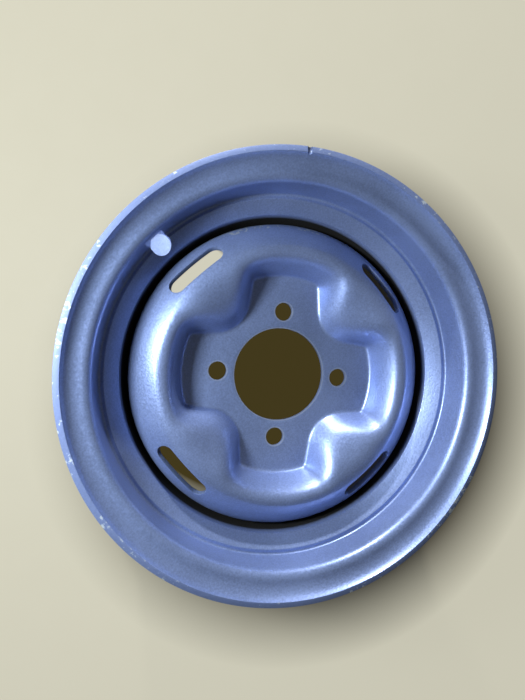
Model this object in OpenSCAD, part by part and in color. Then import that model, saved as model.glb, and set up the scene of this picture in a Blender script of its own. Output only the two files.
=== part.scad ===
// Pressed-steel car wheel for a 12-inch tyre: a rolled drop-centre rim, a disc pressed
// from sheet with four lobes and four raised bosses, and the weld runs that join them.
// The frame: +Z is the wheel's axis, towards the outside of the car, and the origin is
// the centre of the face that seats on the hub. Lobes and studs lie on the diagonals,
// bosses and vent slots on X and Y. The wheel lies on its inner lip, outer face up.

/* [Rim] */
// Diameter of the tyre's bead seats where they meet the flanges
bead_seat_d = 304; // [298:1:322]
// Width between the two flanges, at the tyre
rim_w = 114.3; // [108:0.1:127]
// How far the hub face lies outboard of the rim's centre plane
hub_offset = 14; // [8:0.5:20]
// Height of the flanges above the bead seats
flange_h = 16.9; // [16.2:0.1:18]
// Thickness of the rim's sheet
rim_t = 2.5; // [2:0.1:3]
// Radius of the curled lip, on the tyre side
lip_r = 12; // [10:0.1:12.5]
// How far the lip curls forward out of the flange's plane, in degrees
lip_turn = 70; // [60:1:80]
// Radius between bead seat and flange, on the tyre side
heel_r = 5; // [4.5:0.1:5.5]
// Width of each bead seat
seat_w = 18.6; // [17:0.1:20]
// Slope of the bead seats, in degrees
seat_slope = 5; // [4:0.5:6]
// Depth of the well below the bead seats
well_depth = 29.5; // [28:0.5:31]
// Width of the well, with the wall under the ledge
well_w = 50; // [46:0.5:54]
// Distance from the bead seats in to the ledge's inner edge
ledge_inset = 23; // [22:0.1:24]
// Height of the wall that leads from that edge down to the well's floor
wall_drop = 18; // [15:0.5:20]
// Distance from the outer flange to the front-facing ledge, on the tyre side
ledge_z = 27.4; // [25:0.1:29]
// Slope of the shoulder between bead seat and ledge, in degrees
shoulder_slope = 45; // [38:1:52]
// Slope of the rim from the well's floor up to the inner bead seat, in degrees
rear_slope = 53; // [42:1:60]

/* [Disc] */
// Thickness of the disc's sheet
disc_t = 3.6; // [3:0.1:4]
// Diameter of the centre bore
bore_d = 74.7; // [68:0.1:78]
// Diameter of the circle through the stud holes
stud_pcd = 101.6; // [98:0.1:106]
// Diameter of each stud hole
stud_hole_d = 14.6; // [12:0.1:16]
// Depth of the bevel round each stud hole
stud_bevel = 0.9; // [0.4:0.1:1.5]
// Height of the crown, where the disc stands furthest out, over the hub face
crown_z = 30.7; // [27:0.1:34]
// Distance from the disc's rim flange in to the crown
crown_inset = 33.2; // [32.2:0.1:35]
// Distance from the crown in to the ends of the flat lobes
lobe_inset = 10; // [8:0.1:13]
// Slope of the bosses' tops up to the crown, in degrees
cone_slope = 25.3; // [20:0.1:28]
// Radius of the dome outside the crown
dome_r = 29; // [27:0.5:31]
// Radius of the slope that carries the vent slots
slope_r = 60; // [56:1:62]
// Slope at which the dome gives way to the slotted slope, in degrees
dome_end = 33; // [31:1:35]
// Slope at which the slotted slope turns down into the flange, in degrees
slope_end = 53; // [50:1:54]
// How far the disc's flange reaches behind the hub face
flange_back = 23; // [18:0.5:26]

/* [Lobes and bosses] */
// Slope of the pressed walls round the lobes, in degrees
wall_slope = 66; // [60:0.5:69]
// Radius at the foot of the walls
foot_r = 4; // [3:0.1:5]
// Radius along the top of the walls, in the middle of each lobe's end
brow_lobe_r = 10; // [6:0.1:10.5]
// Radius along the top of the walls, in the corners of the lobes
brow_corner_r = 5; // [4.5:0.1:5.5]
// Radius along the top of the walls, at the noses of the bosses
brow_nose_r = 8; // [6:0.1:10]
// Radius from the wheel's axis to the foot of each boss's nose
nose_at = 50.7; // [49:0.1:53]
// Radius of the nose, seen from the front
nose_r = 30; // [27:0.5:33]
// How much the lobes narrow towards their ends, each side, in degrees
lobe_toe = 6.1; // [4:0.1:8]
// Radius in the corners of the lobes
corner_r = 1.5; // [0.5:0.1:4]
// How fast that radius closes up the walls, for each millimetre of their width
valley_close = 0.2; // [0:0.05:0.3]

/* [Vent slots] */
// Length of each slot
slot_l = 49.8; // [40:0.1:54]
// Width of each slot, along the slope
slot_w = 14; // [10:0.1:15]
// Distance from the disc's flange in to the slots' centres
slot_inset = 12; // [11:0.1:13]

/* [Valve hole] */
// Diameter of the valve hole
valve_d = 15.7; // [11:0.1:16]
// Distance of its centre in from the bead seat
valve_inset = 14.8; // [14:0.1:16]
// Its place round the wheel, in degrees from X
valve_angle = 93.4; // [80:0.1:100]

/* [Weld runs] */
// Width of each weld's two legs
weld_leg = 3.4; // [2.5:0.1:3.5]
// Angle that each weld covers, in degrees
weld_arc = 44; // [30:1:60]

/* [Wear] */
// Width of the nick in the outer lip
nick_w = 3.6; // [2:0.1:5]
// Depth of the nick
nick_depth = 1.1; // [0.6:0.1:1.6]
// Its place round the wheel, in degrees from X
nick_angle = 46.2; // [20:0.1:70]

/* [Hidden] */
$fn = 96;
// Lobes, bosses, slots, stud holes and weld runs each come in this number
FOLD = 4;
HALF = 180 / FOLD;
// Overshoot of a cut past the face that it opens
PAST = 1;
// How far the formed sheet stands proud of the turned ring where their overlap starts,
// and how far it is tucked into the ring where it ends, so that their faces cross
LAP_PROUD = 0.08;
LAP_TUCK = 1;
// Straight end of the curled lip
LIP_END = 0.4;

seat_r = bead_seat_d / 2;
front_z = rim_w / 2 - hub_offset;
rear_z = -rim_w / 2 - hub_offset;
well_r = seat_r - well_depth;
disc_r = well_r - rim_t;
crown_r = disc_r - crown_inset;
lobe_r = crown_r - lobe_inset;
slot_at = disc_r - slot_inset;

// Plain helpers: a point on a circle, and the points along an arc
function polar(r, a) = [r * cos(a), r * sin(a)];
function arc(c, r, a0, a1, n) = [for (i = [0:n]) c + polar(r, a0 + (a1 - a0) * i / n)];
function unit(v) = v / norm(v);
function heading(v) = atan2(v[1], v[0]);
function mix(a, b, w) = a + (b - a) * w;
// The signed turn from one heading to another, in degrees
function turn(a, b) = (b - a + 540) % 360 - 180;

// A bent sheet's outline. Each knot is [r, z, bend radius] on the sheet's right-hand
// face, followed from end to end; t is the thickness, laid to the left of the path.
// A left turn has its centre on the sheet's own side, so that face's radius is smaller.
function leg_in(k, i) = heading([k[i][0] - k[i - 1][0], k[i][1] - k[i - 1][1]]);
function knot_arc(k, i, t, steps) =
    let (a0 = leg_in(k, i), bend = turn(a0, leg_in(k, i + 1)))
    let (side = sign(bend), back = k[i][2] * tan(abs(bend) / 2))
    let (c = [k[i][0], k[i][1]] - polar(back, a0) + polar(k[i][2], a0 + 90 * side))
    arc(c, k[i][2] - side * t, a0 - 90 * side, a0 - 90 * side + bend, steps);
function sheet_face(k, t, steps) = let (last = len(k) - 1) concat(
    [[k[0][0], k[0][1]] + polar(t, leg_in(k, 1) + 90)],
    [for (i = [1:last - 1]) each knot_arc(k, i, t, steps)],
    [[k[last][0], k[last][1]] + polar(t, leg_in(k, last) + 90)]);
function reversed(v) = [for (i = [len(v) - 1:-1:0]) v[i]];
function sheet(k, t, steps) = concat(sheet_face(k, 0, steps), reversed(sheet_face(k, t, steps)));

// The rim's section, tyre side first, from the outer lip's tip to the inner one's
lip_c_r = seat_r + flange_h - lip_r * sin(lip_turn);
lip_knot_r = lip_c_r + lip_r * tan(lip_turn / 2);
lip_tip = [lip_c_r, lip_r] + polar(lip_r, lip_turn - 90) + polar(LIP_END, lip_turn);
seat_end_r = seat_r - seat_w * tan(seat_slope);
ledge_end_r = seat_end_r - (ledge_z - seat_w) / tan(shoulder_slope);
well_rear_z = front_z - ledge_z - well_w;
seat_rear_z = well_rear_z - (seat_end_r - well_r) / tan(rear_slope);
rim_knots = [
    [lip_tip[0], front_z + lip_tip[1], 0],
    [lip_knot_r, front_z, lip_r],
    [seat_r, front_z, heel_r],
    [seat_end_r, front_z - seat_w, 6],
    [ledge_end_r, front_z - ledge_z, 4],
    [seat_r - ledge_inset, front_z - ledge_z, 1.4],
    [well_r, front_z - ledge_z - wall_drop, 6],
    [well_r, well_rear_z, 8],
    [seat_end_r, seat_rear_z, 9],
    [seat_r, rear_z, heel_r],
    [lip_knot_r, rear_z, lip_r],
    [lip_tip[0], rear_z - lip_tip[1], 0]];

module rim() {
    color("lightsteelblue") difference() {
        rotate_extrude($fn = 180) polygon(sheet(rim_knots, -rim_t, 6));
        valve_hole();
        lip_nick();
    }
}

module valve_hole() {
    rotate(valve_angle) translate([seat_r - valve_inset, 0, front_z - ledge_z - PAST])
        cylinder(d = valve_d, h = seat_w);
}

// A small scallop knocked into the edge of the outer lip
module lip_nick() {
    rotate(nick_angle)
        translate([lip_tip[0], 0, front_z + lip_tip[1] + nick_w / 2 - nick_depth])
            rotate([0, 90, 0]) cylinder(d = nick_w, h = 2 * rim_t + nick_w, center = true, $fn = 32);
}

// The disc outside the crown: dome, slotted slope and flange, three arcs in a row that
// share their tangents, each given by the slope at its ends
slope_c = [crown_r + (dome_r - slope_r) * sin(dome_end), crown_z - dome_r + (dome_r - slope_r) * cos(dome_end)];
turn_r = (disc_r - slope_c[0] - slope_r * sin(slope_end)) / (1 - sin(slope_end));
turn_c = slope_c + polar(slope_r - turn_r, 90 - slope_end);
// Where the turned part takes over from the formed centre, and how far that reaches into it
ring_r = crown_r + 13.6;
skirt_r = ring_r + 2;
ring_a = asin((ring_r - crown_r) / dome_r);
function ring_face(t) = concat(
    arc([crown_r, crown_z - dome_r], dome_r - t, 90 - ring_a, 90 - dome_end, 4),
    arc(slope_c, slope_r - t, 90 - dome_end, 90 - slope_end, 6),
    arc(turn_c, turn_r - t, 90 - slope_end, 0, 6),
    [[disc_r - t, -flange_back]]);

module disc_ring() {
    rotate_extrude($fn = 180) polygon(concat(ring_face(0), reversed(ring_face(disc_t))));
}

// Height of the disc's front face under the lobes' walls: a cone inside the crown and
// the dome outside it, and the slope of that face, positive where it rises outwards
function cap_z(r) = r < crown_r
    ? crown_z - (crown_r - r) * tan(cone_slope)
    : crown_z - dome_r + sqrt(pow(dome_r, 2) - pow(r - crown_r, 2));
function cap_slope(r) = r < crown_r ? cone_slope : -asin((r - crown_r) / dome_r);

// Plan of one boss between two lobes, with the boss along X. The nose is an arc, the
// sides are straight, the lobes' ends are arcs about the axis.
side_a = HALF + lobe_toe;
nose_c = [nose_at + nose_r, 0];
side_start = nose_c + polar(nose_r, side_a + 90);
// The corner's centre lies corner_r inside both the side and the lobe's end
corner_d = side_start + polar(corner_r, side_a + 90);
corner_along = corner_d * polar(1, side_a);
corner_run = -corner_along + sqrt(pow(corner_along, 2) - corner_d * corner_d + pow(lobe_r - corner_r, 2));
corner_c = corner_d + polar(corner_run, side_a);
side_out = side_a - 90;
end_out = heading(corner_c);
mitre = unit(polar(1, side_out) + polar(1, end_out)) / cos((end_out - side_out) / 2);

// Stations round half a boss, from the nose to the middle of a lobe. Each has the pad's
// edge there, the way out across the wall in plan, and the way in which the wall moves
// off for each millimetre of its width. In the corners that is the mitre of both walls,
// so the valley between them stays tight, and along the walls it fades to straight out.
function corner_move(a) = mitre * (1 + valley_close) - polar(valley_close, a);
function nose_station(a) = [nose_c + polar(nose_r, 180 - a), polar(1, -a), polar(1, -a)];
function side_station(w) = [side_start + polar(corner_run * w, side_a), polar(1, side_out),
    mix(polar(1, side_out), corner_move(side_out), w)];
function corner_station(a) = [corner_c + polar(corner_r, a), polar(1, a), corner_move(a)];
function end_station(w) = let (a = mix(end_out, HALF, w))
    [polar(lobe_r, a), polar(1, a), mix(corner_move(a), polar(1, a), w)];
half_boss = concat(
    [for (i = [0:4]) nose_station((90 - side_a) * i / 4)],
    [for (i = [1:4]) side_station(i / 4)],
    [for (i = [1:3]) corner_station(mix(side_out, end_out, i / 3))],
    [for (i = [1:4]) end_station(i / 4)]);
function flipped(v) = [v[0], -v[1]];
function turned(v, a) = [v[0] * cos(a) - v[1] * sin(a), v[0] * sin(a) + v[1] * cos(a)];
last = len(half_boss) - 1;
one_boss = concat(
    [for (i = [last:-1:1]) [for (v = half_boss[i]) flipped(v)]],
    [for (i = [0:last - 1]) half_boss[i]]);
stations = [for (k = [0:FOLD - 1]) for (s = one_boss) [for (v = s) turned(v, 2 * HALF * k)]];

// The formed sheet's section at one station: nodes of the front face from inside the
// bore to the turned ring. Each node has its point, the face's normal there, and how
// far it stands proud of the true sheet on both sides, where it laps the ring.
function tilted(v, slope) = [-v[0] * sin(slope), -v[1] * sin(slope), cos(slope)];
function between(n0, n1, w) = let (a = acos(n0 * n1))
    (sin((1 - w) * a) * n0 + sin(w * a) * n1) / sin(a);
// A rounding of radius r between two faces that meet at p; side is 1 under a convex
// edge and -1 over a hollow one
function rounding(p, n0, n1, r, side, steps) =
    let (c = p - side * r * (n0 + n1) / (1 + n0 * n1))
    [for (i = [0:steps]) let (n = between(n0, n1, i / steps)) [c + side * r * n, n, 0]];
function cap_node(r, way, lift) = let (v = polar(1, way))
    [[r * v[0], r * v[1], cap_z(r)], tilted(v, r == crown_r ? cone_slope / 2 : cap_slope(r)), lift];
function wall_width(foot, move, t, tries) = tries == 0 ? t
    : wall_width(foot, move, (cap_z(norm(foot + move * t)) - disc_t) / tan(wall_slope), tries - 1);
// 1 in the middle of a lobe's end and 0 from its corners on
function end_share(p) = max(0, 1 - abs((heading(p) + 360) % (2 * HALF) - HALF) / (HALF - end_out));
function section(s) =
    let (slope = atan(tan(wall_slope) / (s[1] * s[2])))
    let (foot = s[0] + s[1] * foot_r * tan(slope / 2))
    let (top = foot + s[2] * wall_width(foot, s[2], 10, 8), top_r = norm(top))
    let (wall_n = tilted(s[1], slope), cap_n = tilted(unit(top), cap_slope(top_r)))
    let (brow = mix(brow_nose_r, brow_corner_r, min(1, max(0, (top_r - nose_at) / (lobe_r - nose_at))))
        + (brow_lobe_r - brow_corner_r) * end_share(s[0]))
    let (brow_nodes = rounding([top[0], top[1], cap_z(top_r)], wall_n, cap_n, brow, 1, 4))
    let (edge = brow_nodes[4][0], way = heading(edge), edge_r = norm([edge[0], edge[1]]))
    let (crest = max(crown_r, mix(edge_r, ring_r, 0.4)), inner = polar(bore_d / 2 - 6, heading(s[0])))
    concat([[[inner[0], inner[1], disc_t], [0, 0, 1], 0]],
        rounding([foot[0], foot[1], disc_t], [0, 0, 1], wall_n, foot_r, -1, 3),
        brow_nodes,
        [cap_node(mix(edge_r, crest, 0.5), way, 0), cap_node(crest, way, 0),
        cap_node(mix(crest, ring_r, 0.5), way, 0), cap_node(ring_r, way, LAP_PROUD),
        cap_node(skirt_r, way, -LAP_TUCK)]);
function sheet_loop(nodes) = concat(
    [for (q = nodes) q[0] + q[1] * q[2]],
    [for (q = reversed(nodes)) q[0] - q[1] * (disc_t + q[2])]);

module formed_centre() {
    loops = [for (s = stations) sheet_loop(section(s))];
    rows = len(loops);
    cols = len(loops[0]);
    function at(i, j) = (i % rows) * cols + j % cols;
    polyhedron([for (q = loops) each q], [for (i = [0:rows - 1]) for (j = [0:cols - 1]) each [
        [at(i, j), at(i + 1, j), at(i + 1, j + 1)],
        [at(i, j), at(i + 1, j + 1), at(i, j + 1)]]], convexity = 6);
}

module stud_hole() {
    translate([0, 0, -PAST]) cylinder(d = stud_hole_d, h = disc_t + 2 * PAST);
    translate([0, 0, disc_t - stud_bevel])
        cylinder(d1 = stud_hole_d, d2 = stud_hole_d + 2 * (stud_bevel + PAST), h = stud_bevel + PAST);
}

// A slot with round ends, punched square to the slope that it lies on
slot_tilt = asin((slot_at - slope_c[0]) / slope_r);
slot_z = slope_c[1] + slope_r * cos(slot_tilt);
slot_c = (slot_l - slot_w) / 2;
module vent_slot() {
    translate([slot_at, 0, slot_z]) rotate([0, slot_tilt, 0])
        linear_extrude(3 * disc_t, center = true)
            polygon(concat(arc([0, slot_c], slot_w / 2, 0, 180, 16), arc([0, -slot_c], slot_w / 2, 180, 360, 16)));
}

module disc() {
    color("slategray") difference() {
        union() {
            formed_centre();
            disc_ring();
        }
        translate([0, 0, -PAST]) cylinder(d = bore_d, h = disc_t + 2 * PAST);
        for (k = [0:FOLD - 1]) rotate(2 * HALF * k) {
            vent_slot();
            rotate(HALF) translate([stud_pcd / 2, 0, 0]) stud_hole();
        }
    }
}

// A fillet weld behind the disc's flange, slightly bulged, with one leg on the flange's
// end and the other on the rim's well
weld_bulge = weld_leg / 2;
weld_c = [disc_r + weld_bulge, weld_bulge - flange_back];
weld_face_r = norm([weld_leg + weld_bulge, weld_bulge]);
weld_toe = asin(weld_bulge / weld_face_r);
module weld_run(k) {
    color("dimgray") rotate(HALF + 2 * HALF * k - weld_arc / 2)
        rotate_extrude(angle = weld_arc, $fn = 180) polygon(concat(
            arc(weld_c, weld_face_r, 180 + weld_toe, 270 - weld_toe, 5), [[disc_r, -flange_back]]));
}

rim();
disc();
weld_run(0);  // weld_run_1
weld_run(1);  // weld_run_2
weld_run(2);  // weld_run_3
weld_run(3);  // weld_run_4
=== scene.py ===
# %% [markdown]
# # A pressed-steel car wheel
# This lesson dresses the bare steel wheel of a small car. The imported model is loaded
# first and stays fixed: it says where every piece is. The rolled rim, the pressed disc
# and the weld runs are then modelled again with rounded edges and a finer mesh, and
# each new piece stands in for one of the plain solids.

# %% The frame
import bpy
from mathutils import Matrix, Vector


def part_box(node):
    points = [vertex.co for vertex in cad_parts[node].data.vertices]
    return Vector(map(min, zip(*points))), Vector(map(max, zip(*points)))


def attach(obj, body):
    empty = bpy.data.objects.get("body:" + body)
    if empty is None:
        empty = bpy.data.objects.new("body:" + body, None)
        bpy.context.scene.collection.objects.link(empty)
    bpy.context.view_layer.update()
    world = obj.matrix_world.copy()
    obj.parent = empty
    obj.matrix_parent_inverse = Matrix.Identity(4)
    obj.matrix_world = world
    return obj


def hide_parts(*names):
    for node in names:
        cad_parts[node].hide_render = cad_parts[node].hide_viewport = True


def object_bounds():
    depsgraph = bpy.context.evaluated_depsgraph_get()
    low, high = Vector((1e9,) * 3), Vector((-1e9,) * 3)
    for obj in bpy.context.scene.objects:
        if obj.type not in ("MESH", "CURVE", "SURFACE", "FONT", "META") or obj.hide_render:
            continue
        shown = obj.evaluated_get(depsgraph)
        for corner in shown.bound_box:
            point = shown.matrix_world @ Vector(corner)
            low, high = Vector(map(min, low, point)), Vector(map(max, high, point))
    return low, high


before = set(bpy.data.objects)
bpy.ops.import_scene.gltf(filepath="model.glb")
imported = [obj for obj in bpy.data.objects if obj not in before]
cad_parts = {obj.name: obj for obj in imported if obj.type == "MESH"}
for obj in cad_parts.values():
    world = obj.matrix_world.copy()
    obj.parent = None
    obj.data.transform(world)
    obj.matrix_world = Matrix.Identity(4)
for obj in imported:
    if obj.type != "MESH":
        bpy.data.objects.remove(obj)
cad_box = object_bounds()
print("the plain wheel's box, in metres:", cad_box)

# %% [markdown]
# ## Tools for the bench
# All lengths below are typed in millimetres, as a workshop drawing gives them, and
# times MM they are Blender's metres. An operator works on whatever is selected, and
# the loaded solids arrive selected, so everything is deselected before a piece starts.

# %% Small helpers
import math
import bmesh
import bpy
from mathutils import Matrix, Vector

MM = 0.001
FULL_TURN = math.tau
EDGE_SEGMENTS = 2
SHARP_FROM = 50


def polar(radius, degrees):
    """A flat point at this distance and heading from the origin."""
    angle = math.radians(degrees)
    return Vector((radius * math.cos(angle), radius * math.sin(angle)))


def heading(v):
    """The way this vector points, in degrees."""
    return math.degrees(math.atan2(v[1], v[0]))


def mix(a, b, w):
    return a + (b - a) * w


def clamp(x, low, high):
    return max(low, min(high, x))


def start_fresh():
    """Leaves edit mode and deselects all, so that the next operator meets one piece."""
    if bpy.context.object and bpy.context.object.mode != "OBJECT":
        bpy.ops.object.mode_set(mode="OBJECT")
    bpy.ops.object.select_all(action="DESELECT")


def name_piece(name):
    piece = bpy.context.object
    piece.name = piece.data.name = name
    return piece


def apply_modifier(piece, kind, **settings):
    bpy.context.view_layer.objects.active = piece
    modifier = piece.modifiers.new(kind.title(), kind)
    for key, value in settings.items():
        setattr(modifier, key, value)
    bpy.ops.object.modifier_apply(modifier=modifier.name)


def round_edges(piece, width):
    """Breaks every edge that turns by more than SHARP_FROM degrees."""
    limit = math.radians(SHARP_FROM)
    apply_modifier(
        piece, "BEVEL", width=width * MM, segments=EDGE_SEGMENTS, limit_method="ANGLE", angle_limit=limit)


def count(piece):
    triangles = sum(len(face.vertices) - 2 for face in piece.data.polygons)
    low = [min(v.co[i] for v in piece.data.vertices) / MM for i in range(3)]
    high = [max(v.co[i] for v in piece.data.vertices) / MM for i in range(3)]
    span = " x ".join(f"{b - a:.1f}" for a, b in zip(low, high))
    print(f"{piece.name}: {triangles} triangles, {span} mm, lowest point at {low[2]:.1f} mm")


# %% [markdown]
# ## The rim's sizes
# A wheel rim is one strip of sheet, rolled into a hoop and formed between rollers. Its
# section is a line with rounded corners: lip, flange, bead seat, shoulder, ledge, well
# and back again. The sizes follow the ones that rims are specified by, measured from the
# bead seat's diameter and from the flange. Only the overall height is read from the
# packed rim, so that the new one fits the same box.

# %% The rim's sizes
rim_low, rim_high = (Vector(corner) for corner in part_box("rim"))
BEAD_SEAT_D = 304
RIM_SHEET = 2.5
LIP_R = 12
LIP_TURN = 70
LIP_END = 0.4
FLANGE_HEIGHT = 16.85
HEEL_R = 5
SEAT_WIDTH = 18.6
SEAT_SLOPE = 5
SHOULDER_R = 6
WELL_DEPTH = 29.5
WELL_FRONT_BACK = 45.4
WELL_FRONT_R = 6
WELL_REAR_BACK = 77.4
WELL_REAR_R = 8
REAR_SLOPE = 53
REAR_SHOULDER_R = 9
seat_r = BEAD_SEAT_D / 2
curl_r = seat_r + FLANGE_HEIGHT - LIP_R * math.sin(math.radians(LIP_TURN))
lip_tip = Vector((curl_r, LIP_R)) + polar(LIP_R, LIP_TURN - 90) + polar(LIP_END, LIP_TURN)
lip_overhang = lip_tip.y + RIM_SHEET * math.cos(math.radians(LIP_TURN))
front_z = rim_high.z / MM - lip_overhang
rear_z = rim_low.z / MM + lip_overhang
well_r = seat_r - WELL_DEPTH
seat_end_r = seat_r - SEAT_WIDTH * math.tan(math.radians(SEAT_SLOPE))
well_front = front_z - WELL_FRONT_BACK
well_rear = front_z - WELL_REAR_BACK
print(f"flanges at {front_z:.2f} and {rear_z:.2f}, seats at radius {seat_r:.2f}, well at {well_r:.2f}")

# %% [markdown]
# ## The front face's sizes
# Looking into the wheel, one sees the other side of the strip: a narrow flat edge, the
# roll down into a shallow valley, the rounded heel, a thin groove with a raised ring
# beside it and the slanting ledge. These circles were read from the photo, so this face
# is drawn with knots of its own, and behind it the sheet is thicker than elsewhere.

# %% The front face's sizes
STRIP_IN_R = 164.5
STRIP_BELOW_TOP = 0.1
STRIP_R = 0.4
CURL_KNOT_R = 160.0
CURL_R = 12.8
VALLEY_Z = 45.4
HEEL_KNOT_R = 145.4
FRONT_HEEL_R = 7
GROOVE = (140.8, 20.0)
GROOVE_R = 1.8
GROOVE_BACK_R = 4
RIDGE = (137.0, 21.6)
RIDGE_R = 0.8
LEDGE_EDGE = (126.3, 13.6)
LEDGE_EDGE_R = 1.5
LEDGE_BACK_R = 3.5
groove_back = (GROOVE[0] - 0.6, GROOVE[1] - 2.7)
ledge_back = (LEDGE_EDGE[0] + 2, LEDGE_EDGE[1] - 1.8)
print(f"the ledge is {GROOVE[0] - LEDGE_EDGE[0]:.1f} mm wide")

# %% [markdown]
# ## The rim's section
# A section can be drawn point by point, but then no corner can be changed. Here it is
# kept as knots, each with the radius of its bend, and the points are worked out from
# them. The hidden inner side needs no knots: it runs one sheet inside the tyre's side.
# The last knots of the face that one sees lead into it at the front of the well.


# %% The rim's knots
def front_face():
    """Knots (radius, height, bend radius) of what one sees, from the edge to the ledge."""
    return [
        (STRIP_IN_R, rim_high.z / MM - STRIP_BELOW_TOP, STRIP_R), (CURL_KNOT_R, VALLEY_Z, CURL_R),
        (HEEL_KNOT_R, VALLEY_Z, FRONT_HEEL_R), (*GROOVE, GROOVE_R), (*RIDGE, RIDGE_R),
        (*LEDGE_EDGE, LEDGE_EDGE_R)]


def tyre_side():
    """Knots of the side that the tyre sits on, from the front lip to the rear one."""
    knot_r = curl_r + LIP_R * math.tan(math.radians(LIP_TURN / 2))
    seat_rear = well_rear - (seat_end_r - well_r) / math.tan(math.radians(REAR_SLOPE))
    return [
        (lip_tip.x, front_z + lip_tip.y, 0), (knot_r, front_z, LIP_R), (seat_r, front_z, HEEL_R),
        (seat_end_r, front_z - SEAT_WIDTH, SHOULDER_R), (*groove_back, GROOVE_BACK_R),
        (*ledge_back, LEDGE_BACK_R), (well_r, well_front, WELL_FRONT_R),
        (well_r, well_rear, WELL_REAR_R), (seat_end_r, seat_rear, REAR_SHOULDER_R),
        (seat_r, rear_z, HEEL_R), (knot_r, rear_z, LIP_R), (lip_tip.x, rear_z - lip_tip.y, 0)]


def headings(before, knot, after):
    """The way the line runs into a knot and out of it, and how far it bends there."""
    first, second = heading(knot - before), heading(after - knot)
    return first, second, (second - first + 540) % 360 - 180


def inset(knots, depth):
    """The inner knots of this line, moved towards the axis by the sheet's thickness."""
    moved = []
    for before, knot, after in zip(knots, knots[1:], knots[2:]):
        place = Vector(knot[:2])
        first, second, bend = headings(Vector(before[:2]), place, Vector(after[:2]))
        n0, n1 = polar(1, first - 90), polar(1, second - 90)
        place = place + (n0 + n1) * depth / (1 + n0.dot(n1))
        moved.append((place.x, place.y, knot[2] + math.copysign(depth, bend)))
    return moved


def bent_path(knots, arc_step=10.0, straight_step=5.0):
    """The knots' line with its corners rounded, as points to extrude through."""
    path = [Vector(knots[0][:2])]
    for before, knot, after in zip(knots, knots[1:], knots[2:]):
        place, radius = Vector(knot[:2]), knot[2]
        first, _, bend = headings(Vector(before[:2]), place, Vector(after[:2]))
        side = math.copysign(1, bend)
        start = place - polar(radius * math.tan(math.radians(abs(bend) / 2)), first)
        centre = start + polar(radius, first + 90 * side)
        for left in range(max(1, round((start - path[-1]).length / straight_step)), 1, -1):
            path.append(path[-1].lerp(start, 1 / left))
        steps = max(2, math.ceil(abs(bend) / arc_step))
        path += [centre + polar(radius, first - 90 * side + bend * i / steps) for i in range(steps + 1)]
    return path + [Vector(knots[-1][:2])]


outer = tyre_side()
before_well = outer.index((well_r, well_front, WELL_FRONT_R)) - 1
hidden_side = inset(outer[before_well:], RIM_SHEET)
rear_edge = Vector(outer[-1][:2]) + polar(RIM_SHEET, 180 + 90 - LIP_TURN)
inner = front_face() + hidden_side + [(rear_edge.x, rear_edge.y, 0)]
rim_path = bent_path(outer) + bent_path([outer[0]] + inner)[:0:-1] + [Vector(outer[0][:2])]
print(f"the rim's section has {len(rim_path)} points")

# %% [markdown]
# ## Rolling the rim
# One vertex is extruded from point to point, which draws the section as a closed line,
# and the spin operator rolls it round the axis into a hoop. The seam where the spin ends
# and the point where the line closes are merged, and the normals are recalculated. A
# bevel then rounds the cut edges of the two lips.

# %% The hoop
RIM_STEPS = 288
MERGE_WITHIN = 0.01
RIM_EDGE_ROUND = 0.5
start_fresh()
bpy.ops.mesh.primitive_plane_add(size=MM)
rim = name_piece("rim_hoop")
bpy.ops.object.mode_set(mode="EDIT")
bpy.ops.mesh.merge(type="CENTER")
bpy.ops.transform.translate(value=(rim_path[0].x * MM, 0, rim_path[0].y * MM))
for here, there in zip(rim_path, rim_path[1:]):
    step = (there - here) * MM
    bpy.ops.mesh.extrude_region_move(TRANSFORM_OT_translate={"value": (step.x, 0, step.y)})
bpy.ops.mesh.select_all(action="SELECT")
bpy.ops.mesh.spin(steps=RIM_STEPS, angle=FULL_TURN, center=(0, 0, 0), axis=(0, 0, 1))
bpy.ops.mesh.select_all(action="SELECT")
bpy.ops.mesh.remove_doubles(threshold=MERGE_WITHIN * MM)
bpy.ops.mesh.normals_make_consistent(inside=False)
bpy.ops.object.mode_set(mode="OBJECT")
round_edges(rim, RIM_EDGE_ROUND)
count(rim)

# %% [markdown]
# ## The valve hole and the knock in the lip
# Both were made in the finished hoop, one by a punch and one by an accident, so both are
# cut out of it: a cutter is added where the hole belongs and a Boolean modifier takes it
# away. The cutter is deleted afterwards.

# %% Cutting holes in the rim
VALVE_D = 15.7
VALVE_INSET = 14.8
VALVE_ANGLE = 93.4
VALVE_CUT_DEPTH = 30
VALVE_CUT_LIFT = 6
NICK_WIDTH = 3.6
NICK_DEPTH = 1.1
NICK_ANGLE = 46.2
NICK_CUT_LENGTH = 12


def cut_with(piece, cutter):
    apply_modifier(piece, "BOOLEAN", operation="DIFFERENCE", object=cutter, solver="EXACT")
    bpy.data.objects.remove(cutter, do_unlink=True)


def add_cylinder(diameter, depth, place, turn=(0, 0, 0), sides=64):
    start_fresh()
    bpy.ops.mesh.primitive_cylinder_add(
        vertices=sides, radius=diameter / 2 * MM, depth=depth * MM,
        location=[c * MM for c in place], rotation=[math.radians(a) for a in turn])
    return bpy.context.object


valve_at = polar(seat_r - VALVE_INSET, VALVE_ANGLE)
valve_z = LEDGE_EDGE[1] + VALVE_CUT_LIFT
cut_with(rim, add_cylinder(VALVE_D, VALVE_CUT_DEPTH, (*valve_at, valve_z)))
nick_at = polar(lip_tip.x, NICK_ANGLE)
nick_z = front_z + lip_tip.y + NICK_WIDTH / 2 - NICK_DEPTH
cut_with(rim, add_cylinder(NICK_WIDTH, NICK_CUT_LENGTH, (*nick_at, nick_z), (0, 90, NICK_ANGLE), sides=24))
count(rim)

# %% [markdown]
# ## The disc's sizes
# The disc is pressed from one flat sheet. Its shape is easiest to say as a die: a pad
# with four lobes at the bottom, a turned cone and dome round it, and a wall that climbs
# from the one to the other. All its corners are rolled, with one radius at the wall's
# foot and another along its brow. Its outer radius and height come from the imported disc.

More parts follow.
